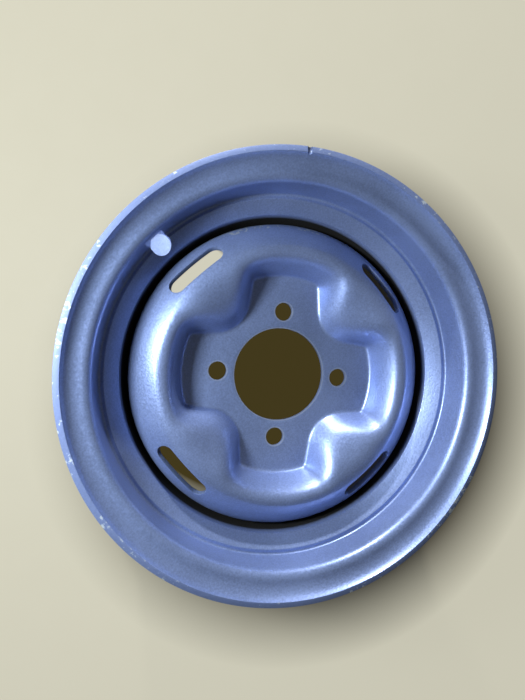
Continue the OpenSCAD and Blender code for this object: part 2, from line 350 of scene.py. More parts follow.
# %% The disc's sizes
disc_low, disc_high = (Vector(corner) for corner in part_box("disc"))
DISC_SHEET = 3.6
BORE_D = 74.7
CROWN_INSET = 33.2
LOBE_INSET = 10
CONE_SLOPE = 25.3
DOME_R = 29
SLOPE_R = 60
DOME_END = 33
SLOPE_END = 53
WALL_SLOPE = 66
FOOT_R = 4
BROW_LOBE_R = 10
BROW_CORNER_R = 5
BROW_NOSE_R = 8
NOSE_AT = 50.7
NOSE_R = 30
LOBE_TOE = 6.1
CORNER_R = 1.5
VALLEY_CLOSE = 0.2
FOLD = 4
HALF = 180 / FOLD
disc_r = disc_high.x / MM
crown_z = disc_high.z / MM
crown_r = disc_r - CROWN_INSET
lobe_r = crown_r - LOBE_INSET
print(f"disc radius {disc_r:.2f}, crown at radius {crown_r:.2f}, height {crown_z:.2f}")

# %% [markdown]
# ## The turned part of the disc
# Outside the crown the disc is a plain turned shape: a dome, a wider arc that carries
# the slots and a tight turn into the flange. Each arc starts where the last one ends and
# in the same direction, so their centres follow from one another.

# %% The cone, the dome and the slope
RING_OUT = 13.6
DOME_STEPS, SLOPE_STEPS, TURN_STEPS, FLANGE_STEPS = 6, 16, 8, 4


def cap_height(r):
    """The turned face under the lobes' walls: a cone inside the crown, a dome outside."""
    if r < crown_r:
        return crown_z - (crown_r - r) * math.tan(math.radians(CONE_SLOPE))
    return crown_z - DOME_R + math.sqrt(DOME_R ** 2 - (r - crown_r) ** 2)


def cap_slope(r):
    return CONE_SLOPE if r < crown_r else -math.degrees(math.asin((r - crown_r) / DOME_R))


dome_c = Vector((crown_r, crown_z - DOME_R))
slope_c = dome_c + polar(DOME_R - SLOPE_R, 90 - DOME_END)
slope_sine = math.sin(math.radians(SLOPE_END))
turn_r = (disc_r - slope_c.x - SLOPE_R * slope_sine) / (1 - slope_sine)
turn_c = slope_c + polar(SLOPE_R - turn_r, 90 - SLOPE_END)
ring_r = crown_r + RING_OUT
ring_slope = -cap_slope(ring_r)


def slope_height(r):
    """Height of the slotted slope at this radius."""
    return slope_c.y + math.sqrt(SLOPE_R ** 2 - (r - slope_c.x) ** 2)


def arc(centre, radius, start, end, steps):
    """Points of an arc between two slopes, without its first one."""
    return [centre + polar(radius, 90 - mix(start, end, i / steps)) for i in range(1, steps + 1)]


def ring_path():
    """The turned face outside the formed part, from the dome down to the flange's end."""
    dome = arc(dome_c, DOME_R, ring_slope, DOME_END, DOME_STEPS)
    slope = arc(slope_c, SLOPE_R, DOME_END, SLOPE_END, SLOPE_STEPS)
    turned = arc(turn_c, turn_r, SLOPE_END, 90, TURN_STEPS)
    top, low = turned[-1].y, disc_low.z / MM
    flange = [Vector((disc_r, mix(top, low, i / FLANGE_STEPS))) for i in range(1, FLANGE_STEPS + 1)]
    return dome + slope + turned + flange


print(f"the turned part has {len(ring_path())} rings")

# %% [markdown]
# ## The plan of one boss
# Seen from above, the pad's outline runs round the blunt nose of a boss, along its side,
# round a tight corner and along the end of the lobe. Half a boss is enough, because the
# rest is its mirror image, turned three times. Each station on the outline also knows
# which way is out and which way the wall's top moves as it climbs.

# %% The plan of one boss
side_a = HALF + LOBE_TOE
side_out = side_a - 90
nose_c = Vector((NOSE_AT + NOSE_R, 0))
side_start = nose_c + polar(NOSE_R, side_a + 90)
corner_d = side_start + polar(CORNER_R, side_a + 90)
corner_along = corner_d.dot(polar(1, side_a))
corner_reach = corner_along ** 2 - corner_d.length_squared + (lobe_r - CORNER_R) ** 2
corner_run = -corner_along + math.sqrt(corner_reach)
corner_c = corner_d + polar(corner_run, side_a)
end_out = heading(corner_c)
mitre_way = (polar(1, side_out) + polar(1, end_out)).normalized()
mitre = mitre_way / math.cos(math.radians((end_out - side_out) / 2))


def corner_move(a):
    return mitre * (1 + VALLEY_CLOSE) - polar(VALLEY_CLOSE, a)


def half_boss(nose_n=14, side_n=12, corner_n=8, end_n=12):
    """Stations from the nose to a lobe's middle: pad's edge, way out, way the wall moves."""
    stations = []
    for i in range(nose_n + 1):
        a = (90 - side_a) * i / nose_n
        stations.append((nose_c + polar(NOSE_R, 180 - a), polar(1, -a), polar(1, -a)))
    out = polar(1, side_out)
    for i in range(1, side_n + 1):
        w = i / side_n
        edge = side_start + polar(corner_run * w, side_a)
        stations.append((edge, out, mix(out, corner_move(side_out), w)))
    for i in range(1, corner_n + 1):
        a = mix(side_out, end_out, i / corner_n)
        stations.append((corner_c + polar(CORNER_R, a), polar(1, a), corner_move(a)))
    for i in range(1, end_n + 1):
        w = i / end_n
        a = mix(end_out, HALF, w)
        stations.append((polar(lobe_r, a), polar(1, a), mix(corner_move(a), polar(1, a), w)))
    return stations


def all_stations():
    half = half_boss()
    mirrored = [tuple(Vector((v.x, -v.y)) for v in s) for s in half[:0:-1]]
    boss = mirrored + half[:-1]
    turns = [Matrix.Rotation(math.radians(2 * HALF * k), 2) for k in range(FOLD)]
    return [tuple(turn @ v for v in s) for turn in turns for s in boss]


stations = all_stations()
print(f"{len(stations)} stations round the disc")

# %% [markdown]
# ## The die
# Two faces that meet are rounded by rolling a ball along their edge: the ball's centre
# lies one radius from both, and the surface follows the ball from one face's normal to
# the other's. The same few lines round the hollow foot and the convex brow.

# %% One section of the pressing
PAD_STEPS, FOOT_STEPS, WALL_STEPS, BROW_STEPS, CREST_STEPS, FALL_STEPS = 12, 6, 5, 8, 9, 5
CREST_SHARE = 0.4
WIDTH_GUESS, REFINEMENTS = 10, 8
UPRIGHT = Vector((0, 0, 1))


def tilted(flat, slope):
    """The normal of a face that climbs this way at this slope."""
    lean = math.radians(slope)
    return Vector((-flat.x * math.sin(lean), -flat.y * math.sin(lean), math.cos(lean)))


def rounding(point, n0, n1, radius, side, steps):
    centre = point - side * radius * (n0 + n1) / (1 + n0.dot(n1))
    return [centre + side * radius * n0.slerp(n1, i / steps) for i in range(steps + 1)]


def on_pad(flat):
    return Vector((flat.x, flat.y, DISC_SHEET))


def on_cap(r, way):
    flat = polar(r, way)
    return Vector((flat.x, flat.y, cap_height(r)))


def end_share(point):
    """1 in the middle of a lobe's end, 0 from its corners on."""
    return max(0, 1 - abs(heading(point) % (2 * HALF) - HALF) / (HALF - end_out))


def wall_width(foot, move):
    """How far out the wall meets the cap. The cap's height depends on it, so it is refined."""
    width = WIDTH_GUESS
    for _ in range(REFINEMENTS):
        climb = cap_height((foot + move * width).length) - DISC_SHEET
        width = climb / math.tan(math.radians(WALL_SLOPE))
    return width


def section(station):
    """Front face from the bore to where the turned part starts, at one station."""
    edge, out, move = station
    slope = math.degrees(math.atan(math.tan(math.radians(WALL_SLOPE)) / out.dot(move)))
    foot = edge + out * FOOT_R * math.tan(math.radians(slope / 2))
    top = foot + move * wall_width(foot, move)
    wall_up = tilted(out, slope)
    cap_up = tilted(top.normalized(), cap_slope(top.length))
    brow_r = mix(BROW_NOSE_R, BROW_CORNER_R, clamp((top.length - NOSE_AT) / (lobe_r - NOSE_AT), 0, 1))
    brow_r += (BROW_LOBE_R - BROW_CORNER_R) * end_share(edge)
    feet = rounding(on_pad(foot), UPRIGHT, wall_up, FOOT_R, -1, FOOT_STEPS)
    top_point = Vector((top.x, top.y, cap_height(top.length)))
    brow = rounding(top_point, wall_up, cap_up, brow_r, 1, BROW_STEPS)
    bore_edge = on_pad(polar(BORE_D / 2, heading(edge)))
    pad = [bore_edge.lerp(feet[0], i / PAD_STEPS) for i in range(PAD_STEPS)]
    wall = [feet[-1].lerp(brow[0], i / WALL_STEPS) for i in range(1, WALL_STEPS)]
    way, edge_r = heading(brow[-1]), brow[-1].xy.length
    crest = max(crown_r, mix(edge_r, ring_r, CREST_SHARE))
    rise = [on_cap(mix(edge_r, crest, i / CREST_STEPS), way) for i in range(1, CREST_STEPS + 1)]
    fall = [on_cap(mix(crest, ring_r, i / FALL_STEPS), way) for i in range(1, FALL_STEPS + 1)]
    return pad + feet + wall + brow + rise + fall


columns = []
for station in stations:
    column = section(station)
    way = heading(column[-1])
    for p in ring_path():
        flat = polar(p.x, way)
        column.append(Vector((flat.x, flat.y, p.y)))
    columns.append(column)
ring_count = len(columns[0])
print(f"{ring_count} points in each section")

# %% [markdown]
# ## Pressing the blank
# The blank starts as a circle at the bore. Its edge is extruded outwards once for every
# ring of the section, and after each extrusion the new ring is laid into the die. A
# number stored on the first ring's vertices is copied along by the extrusions, so every
# vertex knows which station it belongs to. A second number counts the rings outwards.

# %% The pressed sheet
start_fresh()
bpy.ops.mesh.primitive_circle_add(vertices=len(stations), radius=BORE_D / 2 * MM, fill_type="NOTHING")
disc = name_piece("disc_pressing")
bpy.ops.object.mode_set(mode="EDIT")
mesh = bmesh.from_edit_mesh(disc.data)
for label in ("station", "lap"):
    mesh.verts.layers.int.new(label)
tag = mesh.verts.layers.int["station"]
mesh.verts.ensure_lookup_table()
loop_start = mesh.verts[0]
walked, v = [loop_start], loop_start.link_edges[0].other_vert(loop_start)
while v is not loop_start:
    walked.append(v)
    v = next(e.other_vert(v) for e in v.link_edges if e.other_vert(v) is not walked[-2])
for i, v in enumerate(walked):
    v[tag] = i
    v.co = columns[i][0] * MM
for ring in range(1, ring_count):
    bpy.ops.mesh.extrude_region_move()
    mesh = bmesh.from_edit_mesh(disc.data)
    tag, lap = mesh.verts.layers.int["station"], mesh.verts.layers.int["lap"]
    for v in mesh.verts:
        if v.select:
            v[lap] = ring
            v.co = columns[v[tag]][ring] * MM
bmesh.update_edit_mesh(disc.data)
print(f"{len(mesh.verts)} vertices laid into the die")

# %% [markdown]
# ## Relaxing the brow
# The die's corners are sharper than sheet steel can follow, and the real bosses are soft
# and broad. A smoothing operator that is let loose on a band of rings relaxes them, but
# leaves a crease where the band ends. So it runs in three rounds, each on a wider band
# and with fewer passes than the last, and the foot of the wall stays crisp.

# %% Relaxing the brow
SOFT_ROUNDS = [(20, 38, 150), (19, 41, 60), (18, 45, 24)]
SOFT_FACTOR = 0.5
bpy.ops.mesh.select_mode(type="VERT")
for first_lap, last_lap, passes in SOFT_ROUNDS:
    bpy.ops.mesh.select_all(action="DESELECT")
    mesh = bmesh.from_edit_mesh(disc.data)
    lap = mesh.verts.layers.int["lap"]
    for v in mesh.verts:
        v.select_set(first_lap <= v[lap] <= last_lap)
    bmesh.update_edit_mesh(disc.data)
    bpy.ops.mesh.vertices_smooth(factor=SOFT_FACTOR, repeat=passes)
bpy.ops.mesh.select_all(action="SELECT")
bpy.ops.mesh.normals_make_consistent(inside=False)
bpy.ops.object.mode_set(mode="OBJECT")
pad_face = min(disc.data.polygons, key=lambda f: f.center.xy.length)
if pad_face.normal.z < 0:
    disc.data.flip_normals()
count(disc)

# %% [markdown]
# ## Punching the sheet
# A hole needs clean loops of edges round it, or its rim can't be rounded. So the faces
# where it goes are dissolved into one, that face is inset, and the new loop is moved
# onto the hole's outline. A second inset makes a close partner for it, and the face
# left inside is deleted. The punch works in the flat plane that it is square to.

# %% The punch
SLOT_LENGTH = 49.8
SLOT_WIDTH = 14
SLOT_INSET = 12
SLOT_MARGIN = 2.4
STUD_PCD = 101.6
STUD_HOLE_D = 14.6
STUD_MARGIN = 3.0
PUNCH_REACH = 12
LOOP_MARGIN = 1.0
LOOP_PASSES = 40
SMALL_INSET = 0.1
LIFT_REFINEMENTS = 12


class Punch:
    """A round-ended hole: its centre, the plane that it is square to, length and width."""

    def __init__(self, centre, along, across, length, width, height):
        self.centre, self.along, self.across = centre, along.normalized(), across.normalized()
        self.normal = self.along.cross(self.across)
        self.straight, self.radius, self.height = (length - width) / 2, width / 2, height
        self.arc = math.pi * self.radius
        self.perimeter = 2 * self.arc + 4 * self.straight

    def flat(self, point):
        offset = point / MM - self.centre
        return offset.dot(self.along), offset.dot(self.across), offset.dot(self.normal)

    def distance(self, point):
        a, b, _ = self.flat(point)
        return math.hypot(a - clamp(a, -self.straight, self.straight), b) - self.radius

    def walk(self, point):
        """How far round the outline the point nearest to this one lies."""
        a, b, _ = self.flat(point)
        if a > self.straight:
            return (math.atan2(b, a - self.straight) + math.pi / 2) * self.radius
        if a < -self.straight:
            turn = math.atan2(-b, -a - self.straight) + math.pi / 2
            return self.arc + 2 * self.straight + turn * self.radius
        if b > 0:
            return self.arc + self.straight - a
        return 2 * self.arc + 3 * self.straight + a

    def spot(self, way, grow):
        """The outline's point this far round, laid onto the disc's front face."""
        way %= self.perimeter
        half = -1 if way > self.arc + 2 * self.straight else 1
        way -= 0 if half > 0 else self.arc + 2 * self.straight
        if way < self.arc:
            turn = math.degrees(way / self.radius) - 90
            flat = Vector((self.straight, 0)) + polar(self.radius + grow, turn)
        else:
            flat = Vector((self.straight - (way - self.arc), self.radius + grow))
        base = self.centre + (self.along * flat.x + self.across * flat.y) * half
        lift = 0.0
        for _ in range(LIFT_REFINEMENTS):
            spot = base + self.normal * lift
            lift += (self.height(spot.xy.length) - spot.z) * self.normal.z
        return (base + self.normal * lift) * MM

    def lay_loop(self, piece, grow, passes=0):
        """Puts the selected face's corners on the outline, spread evenly by a few passes."""
        mesh = bmesh.from_edit_mesh(piece.data)
        loop = list(next(face for face in mesh.faces if face.select).verts)
        ways = [self.walk(loop[0].co)]
        for v in loop[1:] + loop[:1]:
            step = self.walk(v.co) - ways[-1]
            ways.append(ways[-1] + (step + self.perimeter / 2) % self.perimeter - self.perimeter / 2)
        lap = ways.pop() - ways[0]
        for _ in range(passes):
            around = [ways[-1] - lap] + ways + [ways[0] + lap]
            ways = [(around[i] + around[i + 2]) / 2 * 0.5 + around[i + 1] * 0.5 for i in range(len(ways))]
        for v, way in zip(loop, ways):
            v.co = self.spot(way, grow)
        bmesh.update_edit_mesh(piece.data)

    def strike(self, piece, margin):
        start_fresh()
        bpy.context.view_layer.objects.active = piece
        bpy.ops.object.mode_set(mode="EDIT")
        bpy.ops.mesh.select_mode(type="FACE")
        bpy.ops.mesh.select_all(action="DESELECT")
        mesh = bmesh.from_edit_mesh(piece.data)
        for face in mesh.faces:
            middle = face.calc_center_median()
            face.select_set(self.distance(middle) < margin and abs(self.flat(middle)[2]) < PUNCH_REACH)
        bmesh.update_edit_mesh(piece.data)
        bpy.ops.mesh.dissolve_faces()
        bpy.ops.mesh.inset(thickness=SMALL_INSET * MM)
        self.lay_loop(piece, LOOP_MARGIN, LOOP_PASSES)
        bpy.ops.mesh.select_mode(type="EDGE")
        bpy.ops.mesh.subdivide(number_cuts=1, ngon=True)
        bpy.ops.mesh.select_mode(type="FACE")
        self.lay_loop(piece, LOOP_MARGIN)
        bpy.ops.mesh.inset(thickness=SMALL_INSET * MM)
        self.lay_loop(piece, 0.0)
        bpy.ops.mesh.delete(type="FACE")
        bpy.ops.object.mode_set(mode="OBJECT")


def pad_height(r):
    return DISC_SHEET


ALONG_X, ALONG_Y = Vector((1, 0, 0)), Vector((0, 1, 0))
slot_r = disc_r - SLOT_INSET
slot_tilt = math.asin((slot_r - slope_c.x) / SLOPE_R)
for k in range(FOLD):
    turn = Matrix.Rotation(math.radians(2 * HALF * k), 3, "Z")
    centre = turn @ Vector((slot_r, 0, slope_height(slot_r)))
    down = turn @ Vector((math.cos(slot_tilt), 0, -math.sin(slot_tilt)))
    along = down.cross(turn @ ALONG_Y).cross(down)
    Punch(centre, along, down, SLOT_LENGTH, SLOT_WIDTH, slope_height).strike(disc, SLOT_MARGIN)
    stud = on_pad(polar(STUD_PCD / 2, HALF + 2 * HALF * k))
    Punch(stud, ALONG_X, ALONG_Y, STUD_HOLE_D, STUD_HOLE_D, pad_height).strike(disc, STUD_MARGIN)
count(disc)

# %% [markdown]
# ## The sheet's thickness
# Up to here the disc is its front face alone. Solidify grows the sheet behind it, evenly
# also where it bends, and a bevel rounds the edges that the punch and the shears left.

# %% The disc's thickness and edges
DISC_EDGE_ROUND = 0.45
apply_modifier(disc, "SOLIDIFY", thickness=DISC_SHEET * MM, offset=-1, use_even_offset=True)
round_edges(disc, DISC_EDGE_ROUND)
count(disc)

# %% [markdown]
# ## Weld runs
# At the back, four runs of weld join the disc's flange to the rim's well. A bead is laid
# as a row of overlapping drops, so it is modelled as one: a small ring of vertices is
# extruded round the wheel in short steps, swelling and shrinking a little each time, and
# both ends are drawn in and closed.

# %% One bead, copied round the wheel
WELD_ARC = 44
WELD_R = 2.3
WELD_INSET = 1.1
WELD_BELOW = 1.0
WELD_SIDES = 16
WELD_STEPS = 96
WELD_DROP = 4
DROP_SWELL, DROP_WANDER, WANDER_PACE = 0.09, 0.04, 1.7
END_SHARE, END_GROWTH = 0.45, 0.2


def lay_bead():
    start_fresh()
    middle = Vector((disc_r - WELD_INSET, 0, disc_low.z / MM - WELD_BELOW)) * MM
    bpy.ops.mesh.primitive_circle_add(
        vertices=WELD_SIDES, radius=WELD_R * MM, fill_type="NGON", location=middle,
        rotation=(math.pi / 2, 0, 0))
    bpy.ops.object.transform_apply(location=True, rotation=True, scale=True)
    bead = name_piece("weld_bead")
    bpy.ops.object.mode_set(mode="EDIT")
    bpy.ops.mesh.select_all(action="SELECT")
    turn = math.radians(WELD_ARC / WELD_STEPS)
    for i in range(WELD_STEPS):
        bpy.ops.mesh.extrude_region_move()
        mesh = bmesh.from_edit_mesh(bead.data)
        swell = DROP_SWELL * math.sin(FULL_TURN * i / WELD_DROP)
        ripple = 1 + swell + DROP_WANDER * math.sin(i * WANDER_PACE)
        taper = min(1, END_SHARE + END_GROWTH * i, END_SHARE + END_GROWTH * (WELD_STEPS - 1 - i))
        spin = Matrix.Rotation(turn * (i + 1), 4, "Z")
        centre = spin @ middle
        ring = sorted((v for v in mesh.verts if v.select), key=lambda v: v.index)
        for side, v in enumerate(ring):
            flat = polar(WELD_R * MM * ripple * taper, 360 * side / len(ring))
            v.co = centre + (spin @ Vector((flat.x, 0, flat.y)))
        bmesh.update_edit_mesh(bead.data)
    bpy.ops.mesh.select_all(action="SELECT")
    bpy.ops.mesh.normals_make_consistent(inside=False)
    bpy.ops.object.mode_set(mode="OBJECT")
    return bead


bead = lay_bead()
weld_beads = []
for k in range(FOLD):
    copy = bead.copy()
    copy.data = bead.data.copy()
    copy.name = copy.data.name = f"weld_bead_{k + 1}"
    copy.data.transform(Matrix.Rotation(math.radians(HALF + 2 * HALF * k - WELD_ARC / 2), 4, "Z"))
    bpy.context.collection.objects.link(copy)
    weld_beads.append(copy)
bpy.data.objects.remove(bead, do_unlink=True)
count(weld_beads[0])

# %% [markdown]
# ## Seating and smoothing
# Every piece is shaded smooth, with the edges that are meant to be sharp kept sharp by
# their angle. Then each piece is hung on the body's empty, and the plain solid it stands in for is hidden.

# %% Smoothing and seating
SMOOTH_BELOW = 38
pieces = [rim, disc] + weld_beads
for piece in pieces:
    start_fresh()
    piece.select_set(True)
    bpy.context.view_layer.objects.active = piece
    bpy.ops.object.shade_smooth_by_angle(angle=math.radians(SMOOTH_BELOW))
    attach(piece, "root")
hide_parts("rim")
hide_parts("disc")
for k, piece in enumerate(weld_beads):
    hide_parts(f"weld_run_{k + 1}")
print(f"{len(pieces)} pieces stand in for the plain solids")

# %% [markdown]
# ## Shader maths
# A finish is a handful of masks multiplied and mixed. Written as Math nodes that is long,
# so one small class wraps a socket and lets ordinary arithmetic add the nodes. A second
# class holds a material and adds every other node, and a third gives a point's distance
# from an axis, its height and the noises, all in the wheel's own frame.


# %% Nodes written as arithmetic
class Wire:
    """A socket that adds a Math node for each arithmetic operator."""

    def __init__(self, finish, socket):
        self.finish, self.socket = finish, socket

    def maths(self, operation, first, second):
        return self.finish.node("ShaderNodeMath", {0: first, 1: second}, operation=operation)

    def __add__(self, other):
        return self.maths("ADD", self, other)

    def __radd__(self, other):
        return self.maths("ADD", other, self)

    def __sub__(self, other):
        return self.maths("SUBTRACT", self, other)

    def __rsub__(self, other):
        return self.maths("SUBTRACT", other, self)

    def __mul__(self, other):
        return self.maths("MULTIPLY", self, other)

    def __rmul__(self, other):
        return self.maths("MULTIPLY", other, self)

    def __truediv__(self, other):
        return self.maths("DIVIDE", self, other)


class Finish:
    """A material whose nodes are added by one method."""

    def __init__(self, name):
        self.material = bpy.data.materials.new(name)
        self.material.use_nodes = True
        self.tree = self.material.node_tree
        self.tree.nodes.clear()

    def node(self, kind, inputs=None, out=0, **settings):
        """Adds a node: its settings first, then the values or links of its sockets."""
        node = self.tree.nodes.new(kind)
        for key, value in settings.items():
            setattr(node, key, value)
        for key, value in (inputs or {}).items():
            if isinstance(value, Wire):
                self.tree.links.new(value.socket, node.inputs[key])
            else:
                node.inputs[key].default_value = value
        return Wire(self, node.outputs[out]) if len(node.outputs) else None

    def outputs(self, kind, names, inputs=None):
        """Adds a node and gives its outputs of these names."""
        node = self.node(kind, inputs).socket.node
        return [Wire(self, node.outputs[name]) for name in names]

    def step(self, value, low, high):
        """0 below low, 1 above high, and a straight rise between."""
        return self.node("ShaderNodeMapRange", {0: value, 1: low, 2: high, 3: 0.0, 4: 1.0}, clamp=True)

    def blend(self, factor, first, second):
        """The first colour where the factor is 0, the second where it is 1."""
        return self.node("ShaderNodeMix", {0: factor, 6: first, 7: second}, out=2, data_type="RGBA")


class Wheel:
    """Object coordinates as wires: the place, the distance from the axis, the height."""

    def __init__(self, finish):
        self.finish = finish
        self.place = finish.node("ShaderNodeTexCoord", out="Object")
        self.x, self.y, self.z = finish.outputs("ShaderNodeSeparateXYZ", "XYZ", {0: self.place})
        self.radius = self.distance((0, 0))
        self.height = self.z / MM

    def distance(self, centre):
        """Distance from an upright line through this point, in millimetres."""
        across, along = self.x - centre[0] * MM, self.y - centre[1] * MM
        squares = across * across + along * along
        return self.finish.node("ShaderNodeMath", {0: squares, 1: 0.5}, operation="POWER") / MM

    def noise(self, scale, detail=2.0):
        inputs = {"Vector": self.place, "Scale": scale, "Detail": detail}
        return self.finish.node("ShaderNodeTexNoise", inputs)


print("materials can be written as arithmetic now")

# %% [markdown]
# ## Masks on the wheel
# Masks worked out from the place on the wheel tell its story. The depth of the gap beside
# the disc is painted near black, as painted shade. The lip's edge is dull and scuffed
# through to pale metal in places, and the knock in it is painted black. The edges of the
# bore and of the stud holes are rubbed bright, and the disc's top edge is chipped. Each
# function gives four masks: rubbed, bare, painted shade (on the rim also the black knock)
# and dull, and 0 where a piece has no such part.

# %% Where the paint is rubbed or chipped, and where shade is painted in the gap
STRIP_FLOOR = front_z + 4
SCUFF, SCUFFED_STRETCH, FLAKE, FLAKED_STRETCH = 300.0, 18.0, 330.0, 25.0
LIP_CHIP_FROM, LIP_CHIP_FULL = 0.69, 0.74
GAP_WALL, GAP_FADE = 1.7, 1.0
KNOCK_R, KNOCK_FADE_R = 1.6, 2.4
BORE_RUB, STUD_RUB, RUB_SHARE = (0.5, 0.9), (0.7, 1.2), 0.5
EDGE_CHIP_FROM, EDGE_CHIP_FULL = 0.63, 0.66
FAR_SIDE_FROM, FAR_SIDE_FULL = 0.14, 0.15


def rim_marks(wheel):
    """The scuffed and dull lip, the black knock in it and the painted shade in the gap, for the rolled
    rim.
    """
    step, radius, height = wheel.finish.step, wheel.radius, wheel.height
    scuff = wheel.noise(SCUFF, 4.0) * 0.7 + wheel.noise(SCUFFED_STRETCH, 1.0) * 0.5
    strip = step(radius, STRIP_IN_R - 0.3, STRIP_IN_R + 0.1) * step(height, STRIP_FLOOR, STRIP_FLOOR + 2)
    chips = strip * step(scuff, LIP_CHIP_FROM, LIP_CHIP_FULL)
    # Painted shade: the inner wall of the gap below the ledge is painted near black.
    inside = 1 - step(radius, LEDGE_EDGE[0] - 1.8, LEDGE_EDGE[0] - 0.2)
    lean = (ledge_back[0] - well_r) / (ledge_back[1] - well_front)
    tyre_line = well_r - well_front * lean
    near_side = 1 - step(radius - height * lean, tyre_line - GAP_WALL, tyre_line - GAP_FADE)
    gap = inside * step(height, well_front - 4, well_front) * near_side
    knock = wheel.distance(polar(lip_tip.x - 1.0, NICK_ANGLE))
    knocked = (1 - step(knock, KNOCK_R, KNOCK_FADE_R)) * step(height, front_z, front_z + 2)
    return 0, chips * (1 - knocked), gap + knocked, strip


def disc_marks(wheel):
    """The rubbed holes, the chipped edge and the painted shade on the disc's side of the gap."""
    step, radius, height = wheel.finish.step, wheel.radius, wheel.height
    on_front = step(height, DISC_SHEET - 1.2, DISC_SHEET - 0.2)
    rubbed = 1 - step(radius, BORE_D / 2 + BORE_RUB[0], BORE_D / 2 + BORE_RUB[1])
    for k in range(FOLD):
        stud = wheel.distance(polar(STUD_PCD / 2, HALF + 2 * HALF * k))
        rubbed = rubbed + 1 - step(stud, STUD_HOLE_D / 2 + STUD_RUB[0], STUD_HOLE_D / 2 + STUD_RUB[1])
    flaked = wheel.noise(FLAKE, 3.0) * 0.8 + wheel.noise(FLAKED_STRETCH, 1.0) * 0.35
    chips = step(flaked, EDGE_CHIP_FROM, EDGE_CHIP_FULL)
    past_inner = step(radius, disc_r - 4.6, disc_r - 4)
    past_outer = step(radius, disc_r - 0.8, disc_r - 0.2)
    edge = past_inner * (1 - past_outer) * step(height, 6, 8)
    far_side = step(wheel.y + wheel.x, FAR_SIDE_FROM, FAR_SIDE_FULL)
    # Painted shade: the disc's flange down in the gap is painted near black.
    gap = step(radius, disc_r - 1.2, disc_r - 0.2) * (1 - step(height, 8, 12))
    return rubbed * on_front * RUB_SHARE, edge * chips * far_side, gap, 0


print("the masks for the rim and the disc are defined")

# %% [markdown]
# ## The paint
# The whole wheel wears one sprayed metallic blue, with a thin clear layer on top. Close
# to, it is faintly grainy, which a fine noise gives to colour, gloss and bump alike. A
# large soft noise clouds it a little, as uneven spray does.

# %% The sprayed metallic paint
PAINT = (0.24, 0.33, 0.62)
PALER, DEEPER = 1.14, 0.86
RUBBED_PAINT = (0.50, 0.60, 0.80, 1)
DULL_PAINT = (0.10, 0.14, 0.30, 1)
BARE_METAL = (0.46, 0.54, 0.64, 1)
# Near black for the painted shade in the gap, and for the knock in the lip.
GAP_SHADE_AND_KNOCK_BLACK = (0.004, 0.004, 0.004, 1)
GRAIN, ORANGE_PEEL, CLOUD = 760.0, 420.0, 14.0
GLOSS, GLOSS_CLOUD, GLOSS_GRAIN = 0.41, 0.08, 0.30
METAL, COAT, COAT_GLOSS = 0.6, 0.4, 0.15
BUMP, BUMP_HEIGHT = 0.8, 0.00012
WELD_SHADE = 0.85


def sprayed(name, colour, roughness=GLOSS, marks=None):
    finish = Finish(name)
    wheel = Wheel(finish)
    grain, peel, cloud = wheel.noise(GRAIN), wheel.noise(ORANGE_PEEL, 3.0), wheel.noise(CLOUD, 3.0)
    pale = tuple(min(1, c * PALER + 0.01) for c in colour) + (1,)
    deep = tuple(c * DEEPER for c in colour) + (1,)
    tone = finish.blend(finish.step(cloud * 0.55 + grain * 0.45, 0.38, 0.62), deep, pale)
    rough = roughness + (cloud - 0.5) * GLOSS_CLOUD + (grain - 0.5) * GLOSS_GRAIN
    metal, coat = METAL, COAT
    if marks:
        rubbed, bare, gap, dull = marks(wheel)
        tone = finish.blend(rubbed, tone, RUBBED_PAINT)
        tone = finish.blend(bare, tone, BARE_METAL)
        # Painted shade: the third mask turns the gap's depths near black and dull; on the rim it also
        # blackens the knock.
        tone = finish.blend(gap, tone, GAP_SHADE_AND_KNOCK_BLACK)
        tone = finish.blend(dull * (1 - bare) * 0.6, tone, DULL_PAINT)
        rough = rough - rubbed * 0.12 + gap * 0.3 + dull * 0.15
        metal = metal * (1 - gap) * (1 - dull * 0.6)
        coat = coat * (1 - gap) * (1 - dull)
    bump = finish.node("ShaderNodeBump", {
        "Strength": BUMP, "Distance": BUMP_HEIGHT, "Height": grain * 0.7 + peel})
    shader = finish.node("ShaderNodeBsdfPrincipled", {
        "Base Color": tone, "Roughness": rough, "Metallic": metal, "Normal": bump,
        "Coat Weight": coat, "Coat Roughness": COAT_GLOSS})
    finish.node("ShaderNodeOutputMaterial", {"Surface": shader})
    return finish.material


def wear(piece, material):
    piece.data.materials.clear()
    piece.data.materials.append(material)


wear(rim, sprayed("rim_paint", PAINT, marks=rim_marks))
wear(disc, sprayed("disc_paint", PAINT, marks=disc_marks))
weld_paint = sprayed("weld_paint", tuple(c * WELD_SHADE for c in PAINT), roughness=0.5)
for piece in weld_beads:
    wear(piece, weld_paint)
for piece in pieces:
    print(f"{piece.name} wears {piece.active_material.name}")

# %% [markdown]
# ## The floor
# The wheel lies face up on a plain pale surface. The near light would leave the far floor
# dim, so the floor shows part of its own colour to the camera and to reflections. Near
# the wheel, on the side away from the light, it doesn't, and a painted shadow darkens its
# own colour there. Below the wheel it shows a warm dark brown, painted shade as seen
# through the bore and the holes, with one pale patch of painted light that shows through
# the slot nearest the light.

# %% The floor
FLOOR_SIZE = 6
FLOOR_Z = cad_box[0][2]
# Painted shadow: inside this circle, off to the side away from the light, the floor's own colour is dark
# and it shows no glow.
SHADOW_AT, SHADOW_R, SHADOW_FADE = (28, -66), 190, 80
# Painted shade: below the wheel the floor glows a dark brown to the camera.
UNDER_R, UNDER_FADE = 120, 20
# Painted light: a pale patch on the floor below the slot nearest the light.
PAINTED_LIGHT_SPOT, SPOT_R, SPOT_FADE = (15, 97), 30, 6
CREAM = (0.70, 0.68, 0.55, 1)
# The colour of the painted shade below the wheel.
SHADE = (0.054, 0.041, 0.012, 1)
